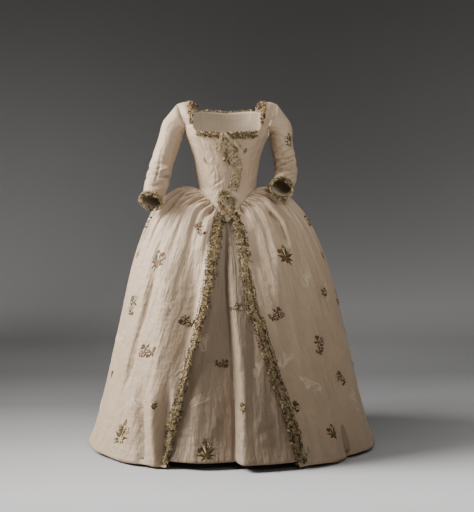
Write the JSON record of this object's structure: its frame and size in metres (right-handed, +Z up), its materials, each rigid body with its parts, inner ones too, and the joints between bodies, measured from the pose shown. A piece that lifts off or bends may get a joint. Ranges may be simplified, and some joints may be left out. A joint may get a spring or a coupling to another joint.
{
  "type": "english gown with petticoat",
  "caption": "Open-fronted silk gown with a pointed fitted bodice, elbow sleeves and pleated domed skirt over a matching petticoat, edged with fly braid, filled out as worn",
  "frame": {"origin": "the centre of the wearer's waist, where the gown is held", "axes": "+Z up, -Y the front, +X the wearer's left"},
  "size_m": [1.0925, 0.9804, 1.2883],
  "materials": {
    "gown_silk": "taupe ribbed silk brocaded with scattered flower sprigs, soft sheen",
    "petticoat_silk": "the same taupe brocaded silk",
    "fly_braid": "yellow-green, olive and rust silk fly fringe"
  },
  "bodies": {
    "root": {"bodice_front_right": "gown_silk", "bodice_side_back_right": "gown_silk", "bodice_centre_back_right": "gown_silk", "bodice_front_left": "gown_silk", "bodice_side_back_left": "gown_silk", "bodice_centre_back_left": "gown_silk", "shoulder_strap_right": "gown_silk", "shoulder_strap_left": "gown_silk", "sleeve_right": "gown_silk", "sleeve_left": "gown_silk", "gown_skirt_front_right": "gown_silk", "gown_skirt_back_right": "gown_silk", "gown_skirt_front_left": "gown_silk", "gown_skirt_back_left": "gown_silk", "petticoat_front": "petticoat_silk", "petticoat_back": "petticoat_silk", "closing_band_left": "fly_braid", "closing_tuft_right": "fly_braid", "point_tuft_left": "fly_braid", "point_tuft_right": "fly_braid", "neck_bow_end_left": "fly_braid", "neck_bow_end_right": "fly_braid", "neck_bow_knot": "fly_braid", "front_edge_trim_right": "fly_braid", "front_edge_trim_left": "fly_braid", "neck_trim_front_right": "fly_braid", "neck_trim_front_left": "fly_braid", "neck_trim_strap_right": "fly_braid", "neck_trim_strap_left": "fly_braid", "neck_trim_back_right": "fly_braid", "neck_trim_back_left": "fly_braid", "cuff_fringe_right": "fly_braid", "cuff_fringe_left": "fly_braid"}
  },
  "joints": []
}
